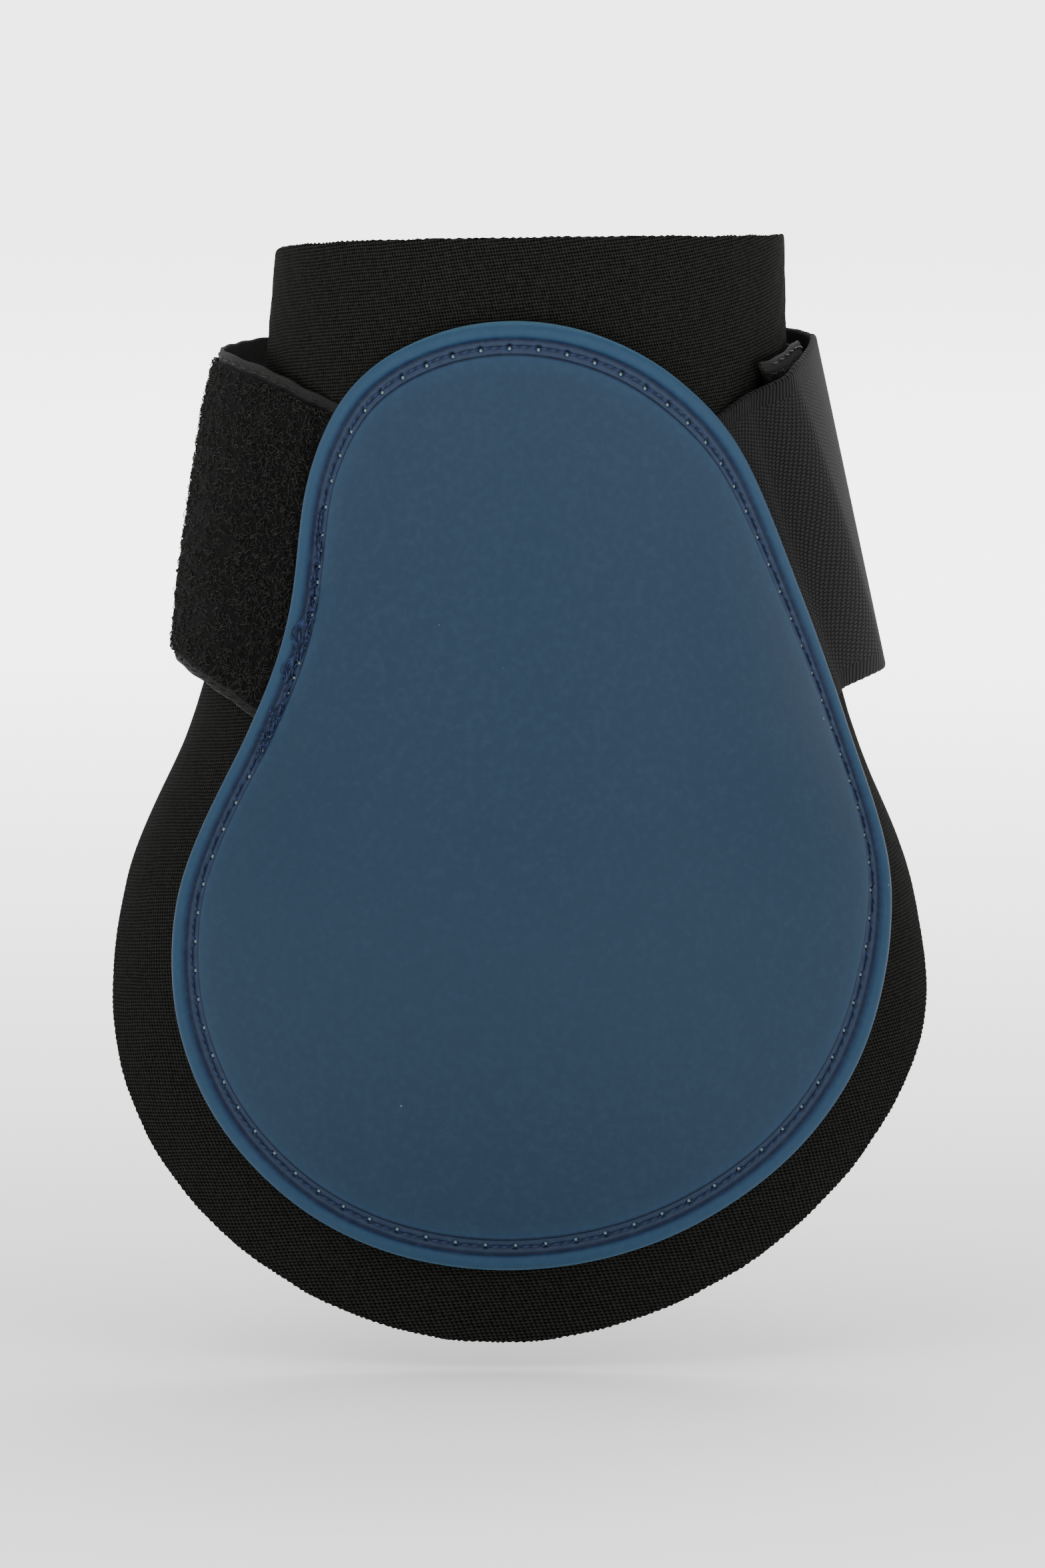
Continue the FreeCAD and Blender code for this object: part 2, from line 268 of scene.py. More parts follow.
def elastic_edges(angle):
    """Bottom and top of the elastic strap at each angle."""
    dip = np.where(angle < 90, np.cos(np.radians(angle)) ** 2, 0.0)
    return np.maximum(-19.4 - 30.0 * dip, -22.5), 29.0 - 17.8 * dip


def pile_edges(angle):
    """Bottom and top of the pile strap at each angle."""
    dip = np.where(angle > -90, np.cos(np.radians(angle)) ** 2, 0.0)
    rise = 1.7 * np.exp(-(((angle + 280.0) / 13.0) ** 2))
    return -18.0 - 16.0 * dip, 27.2 - 10.5 * dip + rise


class Outline:
    """Closed smooth curve through (angle, height) points, walked by its length."""

    SAMPLES = 6000

    def __init__(self, points):
        knots = np.array(list(points) + [points[0]], float)
        steps = np.linalg.norm(np.diff(knots, axis=0), axis=1)
        count = len(points)
        bend = np.zeros((count, count))
        pull = np.zeros((count, 2))
        for i in range(count):
            before, after = steps[i - 1], steps[i]
            bend[i, i - 1] += before
            bend[i, i] += 2 * (before + after)
            bend[i, (i + 1) % count] += after
            last = knots[i - 1 if i else count - 1]
            pull[i] = 6 * ((knots[i + 1] - knots[i]) / after - (knots[i] - last) / before)
        bends = np.linalg.solve(bend, pull)
        bends = np.vstack([bends, bends[:1]])
        start = np.concatenate([[0.0], np.cumsum(steps)])
        t = np.linspace(0, start[-1], self.SAMPLES + 1)
        i = np.clip(np.searchsorted(start, t, side="right") - 1, 0, count - 1)
        h = steps[i][:, None]
        b = (t - start[i])[:, None] / h
        a = 1 - b
        curve = a * knots[i] + b * knots[i + 1]
        curve += ((a**3 - a) * bends[i] + (b**3 - b) * bends[i + 1]) * h * h / 6
        base = liner(curve[:, 0], curve[:, 1], 0.0)
        self.share = np.concatenate([[0.0], np.cumsum(np.linalg.norm(np.diff(base / MM, axis=0), axis=1))])
        self.length = self.share[-1]
        self.share /= self.length
        self.curve = curve
        along = np.gradient(curve, axis=0)
        probe = 0.05
        wide = np.linalg.norm(liner(curve[:, 0] + probe, curve[:, 1], 0.0) - base, axis=1) / (probe * MM)
        tall = np.linalg.norm(liner(curve[:, 0], curve[:, 1] + probe, 0.0) - base, axis=1) / (probe * MM)
        across = np.stack([along[:, 1] * tall, -along[:, 0] * wide], -1)
        across /= np.linalg.norm(across, axis=1)[:, None]
        self.inward = np.stack([across[:, 0] / wide, across[:, 1] / tall], -1)

    def at(self, share, inset):
        """Angle and height of places at a share of the length, inset millimetres inwards."""
        share = np.mod(share, 1.0)
        angle = np.interp(share, self.share, self.curve[:, 0])
        height = np.interp(share, self.share, self.curve[:, 1])
        in_angle = np.interp(share, self.share, self.inward[:, 0])
        in_height = np.interp(share, self.share, self.inward[:, 1])
        return angle + in_angle * inset, height + in_height * inset


SHELL = Outline(SHELL_EDGE)
BOOT = Outline(LINER_EDGE)


def ripple(a, b, seed, size):
    """Smooth repeatable unevenness between -1 and 1 over two coordinates."""
    total = np.zeros(np.broadcast(a, b).shape)
    random = np.random.default_rng(seed)
    for octave in range(5):
        reach = size / (1.0 + 0.7 * octave)
        turn = random.uniform(0, 2 * math.pi)
        phase = random.uniform(0, 2 * math.pi)
        total += np.sin((a * math.cos(turn) + b * math.sin(turn)) * 2 * math.pi / reach + phase)
    return total / 5


# ---------------------------------------------------------------- meshes

def lattice(columns, rows):
    """A flat grid as a mesh, with each vertex's column and row number."""
    bm = bmesh.new()
    bmesh.ops.create_grid(bm, x_segments=columns - 1, y_segments=rows - 1, size=0.5)
    mesh = bpy.data.meshes.new("lattice")
    bm.to_mesh(mesh)
    bm.free()
    flat = np.empty(len(mesh.vertices) * 3)
    mesh.vertices.foreach_get("co", flat)
    flat = flat.reshape(-1, 3)
    column = np.rint((flat[:, 0] + 0.5) * (columns - 1)).astype(int)
    row = np.rint((flat[:, 1] + 0.5) * (rows - 1)).astype(int)
    return mesh, column, row


def finish_mesh(mesh, places, weave, name, material, sharp, outward=True):
    """Move the grid's vertices, give it its weave coordinates, weld it and make the object."""
    mesh.vertices.foreach_set("co", places.astype(np.float32).ravel())
    layer = mesh.uv_layers.new(name="weave")
    corner = np.empty(len(mesh.loops), dtype=np.int32)
    mesh.loops.foreach_get("vertex_index", corner)
    layer.data.foreach_set("uv", weave[corner].astype(np.float32).ravel())
    bm = bmesh.new()
    bm.from_mesh(mesh)
    bmesh.ops.remove_doubles(bm, verts=bm.verts, dist=2e-6)
    bmesh.ops.dissolve_degenerate(bm, dist=1e-7, edges=bm.edges)
    if outward:
        bmesh.ops.recalc_face_normals(bm, faces=bm.faces)
    return to_object(bm, mesh, name, material, sharp)


def to_object(bm, mesh, name, material, sharp):
    """Write a bmesh back, shade it smooth apart from sharp edges and link its object."""
    limit = math.radians(sharp)
    for face in bm.faces:
        face.smooth = True
    for edge in bm.edges:
        edge.smooth = len(edge.link_faces) == 2 and edge.calc_face_angle(0.0) < limit
    bm.to_mesh(mesh)
    bm.free()
    mesh.name = name
    mesh.materials.clear()
    mesh.materials.append(material)
    piece = bpy.data.objects.new(name, mesh)
    bpy.context.collection.objects.link(piece)
    return piece


def disc(name, outline, around, profile, place, material, centre, weave=None, trim=None, sharp=55.0):
    """Closed piece inside an outline. The profile lists (share inwards, inset, offset) rows."""
    profile = np.array(profile, float)
    mesh, column, row = lattice(around + 1, len(profile))
    share = column / around
    inwards, inset, offset = profile[row].T
    angle, height = outline.at(share, inset)
    if trim is not None:
        angle, height, offset = trim(share, inset, inwards, angle, height, offset)
    angle = angle + (centre[0] - angle) * inwards
    height = height + (centre[1] - height) * inwards
    places = place(angle, height, offset)
    if weave is None:
        coords = np.stack([angle * LINER_RUN * MM, height * MM], -1)
    else:
        coords = weave(share, inset, inwards, angle, height)
    return finish_mesh(mesh, places, coords, name, material, sharp)


def strip(name, place, columns, section, angles, edges, material, low, high, wave=None):
    """Strap sheet: its section is a list of (share across, share of thickness) going round."""
    section = np.array(section, float)
    rows = len(section)
    mesh, column, row = lattice(columns + 3, rows + 1)
    row = row % rows
    along = np.clip((column - 1) / columns, 0.0, 1.0)
    cap = (column == 0) | (column == columns + 2)
    across, through = section[row].T
    through = np.where(cap, 0.5, through)
    across = np.where(cap, np.clip(across, 0.0, 1.0), across)
    angle = angles(along, across)
    bottom, top = edges(angle)
    height = bottom + (top - bottom) * across
    offset = low + (high - low) * through
    if wave is not None:
        height, offset = wave(angle, across, height, offset)
    places = place(angle, height, offset)
    coords = np.stack([angle * STRAP_RUN * MM, (across - 0.5) * WEAVE_WIDTH * MM], -1)
    return finish_mesh(mesh, places, coords, name, material, 50.0)


def band_section(across, rounding):
    """Section of a flat tape: outer face, rounded edge, inner face, rounded edge."""
    turns = np.linspace(0, math.pi, 7)[1:-1]
    outer = [(v, 1.0) for v in np.linspace(rounding, 1 - rounding, across)]
    over = [(1 - rounding + rounding * math.sin(t), 0.5 + 0.5 * math.cos(t)) for t in turns]
    inner = [(v, 0.0) for v in np.linspace(1 - rounding, rounding, across)]
    under = [(rounding - rounding * math.sin(t), 0.5 - 0.5 * math.cos(t)) for t in turns]
    return outer + over + inner + under


def tubes(name, centres, radii, sides, material, pitch=1.0):
    """Many separate closed tubes in one mesh; centres is (count, steps, 3), radii (count, steps)."""
    centres = np.asarray(centres, float)
    count, steps, _ = centres.shape
    radii = np.broadcast_to(np.asarray(radii, float), (count, steps)).copy()
    centres = np.concatenate([centres[:, :1], centres, centres[:, -1:]], 1)
    radii = np.concatenate([np.zeros((count, 1)), radii, np.zeros((count, 1))], 1)
    steps += 2
    mesh, column, row = lattice(count * steps, sides + 1)
    along = np.gradient(centres, axis=1)
    along[:, 0] = along[:, 1]
    along[:, -1] = along[:, -2]
    along /= np.linalg.norm(along, axis=2)[..., None] + 1e-12
    guide = np.cross(along, np.array([0.31, 0.22, 0.92]))
    guide /= np.linalg.norm(guide, axis=2)[..., None] + 1e-12
    side = np.cross(along, guide)
    tube, step = column // steps, column % steps
    turn = 2 * math.pi * (row % sides) / sides
    radius = radii[tube, step][:, None]
    places = centres[tube, step] + radius * (
        guide[tube, step] * np.cos(turn)[:, None] + side[tube, step] * np.sin(turn)[:, None]
    )
    coords = np.stack([step * pitch * MM, row / sides * MM], -1)
    bm = bmesh.new()
    bm.from_mesh(mesh)
    bm.faces.ensure_lookup_table()
    bridges = [face for face in bm.faces if min(column[v.index] for v in face.verts) % steps == steps - 1]
    bmesh.ops.delete(bm, geom=bridges, context="FACES_ONLY")
    bm.to_mesh(mesh)
    bm.free()
    return finish_mesh(mesh, places, coords, name, material, 180.0, outward=False)


# ---------------------------------------------------------------- finishes

class Value:
    """A shader socket that can be used in sums; each operator adds a Math node."""

    def __init__(self, finish, socket):
        self.finish = finish
        self.socket = socket

    def sum(self, operation, one, two):
        return self.finish.node("ShaderNodeMath", {"operation": operation}, {0: one, 1: two})

    def __add__(self, other):
        return self.sum("ADD", self, other)

    def __radd__(self, other):
        return self.sum("ADD", other, self)

    def __sub__(self, other):
        return self.sum("SUBTRACT", self, other)

    def __rsub__(self, other):
        return self.sum("SUBTRACT", other, self)

    def __mul__(self, other):
        return self.sum("MULTIPLY", self, other)

    def __rmul__(self, other):
        return self.sum("MULTIPLY", other, self)

    def __truediv__(self, other):
        return self.sum("DIVIDE", self, other)

    def __pow__(self, other):
        return self.sum("POWER", self, other)

    def sine(self):
        return self.sum("SINE", self, 0.0)

    def fold(self):
        return self.sum("ABSOLUTE", self, 0.0)

    def above(self, limit):
        return self.sum("GREATER_THAN", self, limit)


class Finish:
    """A material whose node tree is written as expressions."""

    def __init__(self, name, **constants):
        self.material = bpy.data.materials.new(name)
        self.material.use_nodes = True
        self.tree = self.material.node_tree
        self.shader = self.tree.nodes["Principled BSDF"]
        for key, value in constants.items():
            self.shader.inputs[key.replace("_", " ").title().replace("Ior", "IOR")].default_value = value

    def node(self, kind, settings, inputs, output=0):
        """Add a node: settings first, then the values or links of its sockets."""
        node = self.tree.nodes.new(kind)
        for key, value in settings.items():
            if key == "stops":
                ramp = node.color_ramp
                while len(ramp.elements) < len(value):
                    ramp.elements.new(0.5)
                for element, (place, colour) in zip(ramp.elements, value):
                    element.position = place
                    element.color = (*colour, 1.0)
            else:
                setattr(node, key, value)
        for key, value in inputs.items():
            if isinstance(value, Value):
                self.tree.links.new(value.socket, node.inputs[key])
            else:
                node.inputs[key].default_value = value
        return Value(self, node.outputs[output])

    def weave(self):
        """The piece's own coordinates, in metres along and across its cloth."""
        place = self.node("ShaderNodeUVMap", {"uv_map": "weave"}, {})
        along = self.node("ShaderNodeSeparateXYZ", {}, {0: place}, 0)
        across = self.node("ShaderNodeSeparateXYZ", {}, {0: place}, 1)
        return along, across

    def place(self):
        return self.node("ShaderNodeTexCoord", {}, {}, "Object")

    def noise(self, scale, detail=3.0, rough=0.55, distortion=0.0):
        inputs = {"Vector": self.place(), "Scale": scale, "Detail": detail, "Roughness": rough}
        inputs["Distortion"] = distortion
        return self.node("ShaderNodeTexNoise", {"noise_dimensions": "3D"}, inputs)

    def mix(self, share, one, two):
        """Blend from one colour to another; each is a tuple or a link."""
        one, two = ((*c, 1.0) if isinstance(c, tuple) else c for c in (one, two))
        return self.node("ShaderNodeMix", {"data_type": "RGBA"}, {0: share, 6: one, 7: two}, 2)

    def ramp(self, value, stops):
        return self.node("ShaderNodeValToRGB", {"stops": stops}, {0: value})

    def feed(self, **links):
        for key, value in links.items():
            self.tree.links.new(value.socket, self.shader.inputs[key.replace("_", " ").title()])

    def bump(self, height, strength, distance):
        inputs = {"Strength": strength, "Distance": distance, "Height": height}
        normal = self.node("ShaderNodeBump", {}, inputs)
        self.tree.links.new(normal.socket, self.shader.inputs["Normal"])


def tone(red, green, blue):
    """Linear colour of a display colour given in 0-255 steps."""
    def linear(c):
        c /= 255.0
        return c / 12.92 if c <= 0.04045 else ((c + 0.055) / 1.055) ** 2.4
    return tuple(linear(c) for c in (red, green, blue))


def shell_finish():
    """Matt moulded polyurethane; its colour follows the rim, groove and field."""
    f = Finish("moulded_shell", roughness=0.52, specular_ior_level=0.16)
    inset = f.weave()[1]
    grain = f.noise(900.0, 4.0, 0.6)
    cloud = f.noise(22.0, 2.0, 0.5)
    section = inset / 0.010
    settings = bpy.context.scene.boot_shell
    field = tuple(settings.colour)
    rim = tuple(settings.rim_colour)
    # dark: painted shadow line at the foot of the rim, where it meets the groove.
    dark = tone(8, 18, 42)
    groove = tone(34, 46, 66)
    colour = f.ramp(section + (f.noise(2600.0, 2.0) - 0.5) * 0.02, [
        # First two stops: painted highlight along the rim's outer edge, fading into the rim colour.
        (0.0, tone(70, 100, 118)), (0.02, tone(44, 78, 100)), (0.05, rim), (0.18, rim),
        # Stops 0.222 to 0.265: the rim darkens down its inner slope as painted shade, then the dark painted
        # shadow line at the rim's foot.
        (0.222, tone(18, 42, 68)), (0.24, dark), (0.265, dark), (0.29, groove), (0.445, groove),
        # Stops 0.46 and 0.475: painted shadow line at the step of the groove's inner wall.
        (0.46, tone(10, 20, 38)), (0.475, tone(10, 22, 42)), (0.505, tone(27, 50, 71)),
        (0.58, tone(26, 47, 66)), (0.75, field),
    ])
    specks = f.node("ShaderNodeTexVoronoi", {"feature": "F1"}, {"Vector": f.place(), "Scale": 260.0}, 0)
    rare = f.noise(140.0, 1.0).above(0.66)
    dust = (1.0 - specks.above(0.045)) * rare * 0.55
    shade = f.mix(cloud * 0.14, colour, tone(20, 40, 60))
    scuffs = f.ramp(grain, [(0.45, (0.0, 0.0, 0.0)), (0.75, (1.0, 1.0, 1.0))]) * 0.16
    shade = f.mix(scuffs, shade, tone(52, 74, 92))
    f.feed(base_color=f.mix(dust, shade, tone(120, 136, 148)))
    f.feed(roughness=0.46 + grain * 0.14 + cloud * 0.05)
    f.bump(grain + cloud * 0.4, 0.22, 0.00006)
    return f.material


def knit_finish(name, light):
    """Fine black knit: rows and wales of small loops, with stray lint."""
    f = Finish(name, roughness=0.92, specular_ior_level=0.02)
    along, up = f.weave()
    drift = (f.noise(60.0, 2.0) - 0.5) * 0.0009
    rows = ((up + drift - along * 0.1) * (2 * math.pi / 0.0005)).sine()
    wales = ((along + drift + up * 0.35) * (2 * math.pi / 0.00054) + rows * 0.9).sine()
    cloth = f.noise(1700.0, 3.0, 0.6)
    loops = rows * 0.42 + wales * 0.42 + (cloth - 0.5) * 1.4
    cloud = f.noise(35.0, 3.0)
    base = f.mix(loops * 0.62 + 0.36, tone(2, 2, 2), light)
    base = f.mix(cloud * 0.25, base, tone(15, 15, 14))
    lint = f.noise(800.0, 6.0, 0.75).above(0.705)
    f.feed(base_color=f.mix(lint * 0.3, base, tone(62, 59, 54)))
    f.feed(roughness=0.9 + loops * 0.04)
    f.bump(loops, 0.55, 0.00014)
    return f.material


def elastic_finish():
    """Woven elastic: a close grid of small ribs, with plain ribbed edges."""
    f = Finish("elastic_web", roughness=0.85, specular_ior_level=0.05, sheen_weight=0.025,
               sheen_roughness=0.45)
    along, across = f.weave()
    drift = (f.noise(70.0, 2.0) - 0.5) * 0.0005
    step = ((along + drift) * (2 * math.pi / 0.00144)).sine()
    stagger = step.above(0.0) * 0.00027
    cords = ((along + drift) * (math.pi / 0.00072)).sine().fold()
    ribs = ((across + stagger + drift) * (math.pi / 0.00054)).sine().fold()
    grid = cords ** 0.5 * ribs ** 0.6
    edge = across.fold().above(0.0206)
    selvage = ((along + drift) * (math.pi / 0.00060)).sine().fold()
    cloth = f.noise(2300.0, 3.0, 0.6)
    height = grid * (1.0 - edge) + selvage * edge * 0.8 + (cloth - 0.5) * 0.5
    base = f.mix(height * 0.95 - 0.1, tone(3, 3, 3), tone(42, 41, 41))
    f.feed(base_color=f.mix(f.noise(30.0, 2.0) * 0.2, base, tone(20, 20, 20)))
    f.feed(roughness=0.9 - height * 0.16)
    f.bump(height, 0.6, 0.00016)
    return f.material


def webbing_finish():
    """Plain woven tape behind the pile."""
    f = Finish("webbing", roughness=0.85, specular_ior_level=0.1, sheen_weight=0.03)
    along, across = f.weave()
    warp = (along * (math.pi / 0.0006)).sine().fold()
    weft = (across * (math.pi / 0.0005)).sine().fold()
    height = warp * 0.6 + weft * 0.4 + (f.noise(2500.0, 3.0) - 0.5) * 0.5
    f.feed(base_color=f.mix(height * 0.7, tone(5, 5, 5), tone(38, 38, 37)))
    f.bump(height, 0.6, 0.00012)
    return f.material


def pile_finish(name, dark, light, sheen):
    """Brushed loops: matt black with paler fibre crests."""
    f = Finish(name, roughness=0.95, specular_ior_level=0.06, sheen_weight=sheen, sheen_roughness=0.4)
    curls = f.noise(1500.0, 4.0, 0.7, distortion=1.6)
    tufts = f.noise(420.0, 2.0, 0.6)
    f.feed(base_color=f.mix(curls * 2.4 + tufts * 0.6 - 1.1, dark, light))
    f.bump(curls + tufts, 0.9, 0.0004)
    return f.material


def thread_finish(name, dark, light, twist=0.0011):
    """Twisted sewing thread; its two strands wind round each other."""
    f = Finish(name, roughness=0.6, specular_ior_level=0.15, sheen_weight=0.03)
    along, around = f.weave()
    strand = ((along / twist + around / 0.001) * (2 * math.pi)).sine()
    fibre = f.noise(5200.0, 3.0)
    height = strand * 0.5 + fibre * 0.6
    f.feed(base_color=f.mix(height * 0.6 + 0.15, dark, light))
    f.bump(height, 0.6, 0.0001)
    return f.material


def foam_finish(name, dark, light):
    """Cut closed-cell foam: fine open cells on a matt ground."""
    f = Finish(name, roughness=0.92, specular_ior_level=0.07)
    cells = f.node("ShaderNodeTexVoronoi", {"feature": "F1"}, {"Vector": f.place(), "Scale": 2600.0}, 0)
    height = cells + f.noise(900.0, 3.0) * 0.5
    f.feed(base_color=f.mix(height * 0.7, dark, light))
    f.bump(height, 0.5, 0.00012)
    return f.material


def hook_finish():
    """Nylon hook tape."""
    f = Finish("hook_tape", roughness=0.5, specular_ior_level=0.15)
    f.feed(base_color=f.mix(f.noise(1200.0, 2.0), tone(7, 7, 8), tone(24, 24, 26)))
    return f.material


MADE = {}


def finish(name):
    """Each finish is made once and shared by its pieces."""
    makers = {
        "moulded_shell": shell_finish,
        "knit_jersey": lambda: knit_finish("knit_jersey", tone(42, 42, 40)),
        "lining_knit": lambda: knit_finish("lining_knit", tone(62, 62, 60)),
        "elastic_web": elastic_finish,
        "webbing": webbing_finish,
        "pile_ground": lambda: pile_finish("pile_ground", tone(1, 1, 1), tone(14, 14, 13), 0.02),
        "loop_pile": lambda: pile_finish("loop_pile", tone(2, 2, 2), tone(54, 53, 50), 0.08),
        "blue_thread": lambda: thread_finish("blue_thread", tone(12, 21, 44), tone(38, 54, 86)),
        "frayed_thread": lambda: thread_finish("frayed_thread", tone(16, 28, 58), tone(60, 80, 120)),
        "black_thread": lambda: thread_finish("black_thread", tone(4, 4, 4), tone(26, 26, 26)),
        # Pale colours of the painted glints at the needle holes.
        "painted_glint_thread": lambda: thread_finish("painted_glint_thread", tone(80, 102, 110), tone(158, 176, 180)),
        "neoprene": lambda: foam_finish("neoprene", tone(5, 5, 5), tone(24, 24, 24)),
        "foam": lambda: foam_finish("foam", tone(50, 50, 52), tone(84, 84, 86)),
        "hook_tape": hook_finish,
    }
    if name not in MADE:
        MADE[name] = makers[name]()
    return MADE[name]


def settle(piece, body, slot, *nodes):
    """A piece that rides on one body, takes a slot's finish and may stand for nodes."""
    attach(piece, body)
    if nodes:
        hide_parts(*nodes)


# ---------------------------------------------------------------- shell and seam

def hole_shares():
    """Shares of the shell's edge at the needle holes, closer where the seam's ends overlap."""
    count = bpy.context.scene.boot_seam.stitches
    first, last = overlap_range()
    between = [(i + 0.5) / count for i in range(count)]
    return sorted([i / count for i in range(count)] + [share for share in between if first < share < last])


def overlap_range():
    """Shares of the shell's edge between which the seam is sewn twice."""
    place = liner(SHELL.curve[:, 0], SHELL.curve[:, 1], 0.0) / MM
    left = place[:, 0] < -20
    high = SHELL.share[left & (np.abs(place[:, 2] - 4.0) < 0.6)].mean()
    low = SHELL.share[left & (np.abs(place[:, 2] + 28.0) < 0.6)].mean()
    return min(low, high), max(low, high)


def make_shell():
    """Strike shell: rounded rim, stitching groove with needle holes, and a faintly crowned field."""
    under = [(share, 14, 0.06) for share in (1.0, 0.97, 0.5, 0.0)]
    rim = [(6, 0.06), (1.2, 0.06), (0.5, 0.08), (0.16, 0.2), (0.02, 0.5), (-0.03, 1.1), (0.0, 1.8),
           (0.06, 2.3), (0.22, 2.75), (0.48, 3.04), (0.85, 3.18), (1.25, 3.2), (1.6, 3.12), (1.9, 2.98),
           (2.12, 2.8), (2.26, 2.6), (2.36, 2.42), (2.48, 2.32)]
    floor = [(inset, GROOVE_FLOOR) for inset in np.arange(2.65, 4.45, 0.18)]
    step = [(4.52, 2.31), (4.62, 2.38), (4.72, 2.48), (4.86, 2.55), (5.2, 2.6), (6.0, 2.64), (7.8, 2.7),
            (10.5, 2.76)]
    field = [(share, 12, 2.8 + CROWN * math.sin(share * math.pi / 2)) for share in np.linspace(0.02, 1.0, 16)]
    profile = under + [(0, *row) for row in rim + floor + step] + field
    holes = np.array(hole_shares())

    def trim(share, inset, inwards, angle, height, offset):
        outside = (offset > 1.5) & (inwards == 0)
        near = np.abs((share[:, None] - holes[None, :] + 0.5) % 1.0 - 0.5) * SHELL.length
        reach = near.min(1) ** 2 + (inset - SEAM_INSET) ** 2
        dent = np.where(outside, np.exp(-reach / (2 * DENT_RADIUS**2)), 0.0)
        press = np.where(outside, np.exp(-((inset - SEAM_INSET) / PRESS_REACH) ** 2), 0.0)
        wander = ripple(share * SHELL.length, inset * 0, 5, 60.0) * 0.12
        shift = np.where(inwards < 0.9, wander, 0.0)
        return angle + shift * 0.8, height, offset - DENT_DEPTH * dent - PRESS_DEPTH * press

    def weave(share, inset, inwards, angle, height):
        depth = inset + inwards * 30.0
        return np.stack([share * SHELL.length * MM, depth * MM], -1)

    shell = disc("strike_shell_moulded", SHELL, 1400, profile, liner, finish("moulded_shell"),
                 FIELD_CENTRE, weave, trim, 60.0)
    settle(shell, "boot_body", "moulded_shell", "strike_shell")


def seam_points(start, end, inset, lift, steps=8, sag=0.75):
    """Centre line of one stitch between two needle holes, sunk at both ends."""
    t = np.linspace(0, 1, steps)
    angle, height = SHELL.at(start + (end - start) * t, inset)
    return liner(angle, height, lift - sag * (1 - np.sin(math.pi * t) ** 0.6))


def make_seam():
    """Lock stitches in the groove, the doubled stretch and the pale loops that show in the holes."""
    random = np.random.default_rng(11)
    holes = hole_shares()
    top = GROOVE_FLOOR + 0.16
    rows = []
    for i, start in enumerate(holes):
        end = holes[(i + 1) % len(holes)] + (1.0 if i + 1 == len(holes) else 0.0)
        rows.append(seam_points(start, end, SEAM_INSET + random.uniform(-0.06, 0.06), top))
    first, last = overlap_range()
    for share in holes:
        if first < share < last:
            end = share + 1.0 / bpy.context.scene.boot_seam.stitches
            side = random.uniform(0.25, 0.55) * random.choice([-1, 1])
            rows.append(seam_points(share, end, SEAM_INSET + side, top + 0.1))
    seam = tubes("shell_seam_stitches", rows, SEAM_THREAD, 6, finish("blue_thread"), 0.55)
    settle(seam, "boot_body", "blue_thread", "shell_seam_thread")

    # Pale dots just inward of each needle hole: painted highlights (glints) shaped as small loops of pale
    # thread.
    knots = []
    for share in holes:
        angle, height = SHELL.at(share, SEAM_INSET + 0.26)
        out = liner(angle, height, np.array([1.7, 1.92, 2.1]))
        side = liner(angle + 0.25, height - 0.22, 1.9) - liner(angle, height, 1.9)
        knots.append(out + side * np.array([[-0.3], [0.0], [0.3]]))
    glints = tubes("needle_hole_glints", knots, np.array([0.22, 0.3, 0.18]) * MM, 6, finish("painted_glint_thread"), 0.3)
    settle(glints, "boot_body", "blue_thread")


def make_frayed_ends():
    """Loose fibres where the thread's ends were cut at the overlap."""
    random = np.random.default_rng(23)
    first, last = overlap_range()
    strands = []
    steps = 7
    tufts = [(0.02, 0.1, 14), (0.09, 0.3, 12), (0.16, -0.2, 12), (0.22, 0.5, 8), (0.36, -0.2, 6),
             (0.5, 0.0, 6), (0.65, 0.9, 14)]
    loops = [(0.33, 0.46, 1.35), (0.35, 0.44, 0.8), (0.48, 0.62, 1.3), (0.51, 0.6, 0.7), (0.66, 0.80, 0.4)]
    for where, side, count in tufts:
        for _ in range(count):
            share = first + (last - first) * (where + random.normal(0, 0.022))
            inset = SEAM_INSET + side + random.normal(0, 0.28)
            lift = GROOVE_FLOOR + random.uniform(0.1, 0.5)
            heading = random.uniform(-0.9, 0.9)
            length = random.uniform(1.0, 3.4)
            points = []
            for _ in range(steps):
                share += length / steps / SHELL.length * math.cos(heading) * random.choice([1, 1, 1, -1])
                inset += length / steps * math.sin(heading) * 0.7
                inset = min(max(inset, 1.9), 5.0)
                heading += random.normal(0, 0.55)
                rim = 1.0 if inset < 2.4 else 0.55 if inset > 4.5 else 0.0
                lift = max(lift + random.normal(0, 0.10), GROOVE_FLOOR + 0.12 + rim)
                lift = min(lift, GROOVE_FLOOR + 0.75 + rim)
                angle, height = SHELL.at(share, inset)
                points.append(liner(angle, height, lift))
            strands.append(np.array(points))
    for start, end, reach in loops:
        for _ in range(4):
            t = np.linspace(0, 1, steps)
            share = first + (last - first) * (start + (end - start) * t + random.normal(0, 0.012))
            out = reach * random.uniform(0.6, 1.15) * np.sin(math.pi * t) ** 0.8
            inset = SEAM_INSET - 0.2 - out + random.normal(0, 0.07, steps)
            lift = GROOVE_FLOOR + 0.2 + 0.85 * smooth((2.7 - inset) / 0.6) + random.uniform(0, 0.12)
            angle, height = SHELL.at(share, inset)
            strands.append(liner(angle, height, lift))
    strands = np.array(strands).reshape(-1, steps, 3)
    fray = tubes("frayed_thread_ends", strands, FIBRE, 3, finish("frayed_thread"), 0.4)
    settle(fray, "boot_body", "blue_thread")


def make_bobbin():
    """Underside of the seam, on the lining inside the boot."""
    count = bpy.context.scene.boot_seam.stitches
    rows = [seam_points((i + 0.06) / count, (i + 0.94) / count, SEAM_INSET, -LINER - 0.12, 7, -0.5)
            for i in range(count)]
    bobbin = tubes("bobbin_stitches", rows, BOBBIN_THREAD, 6, finish("blue_thread"), 0.55)
    settle(bobbin, "boot_body", "blue_thread", "bobbin_thread")


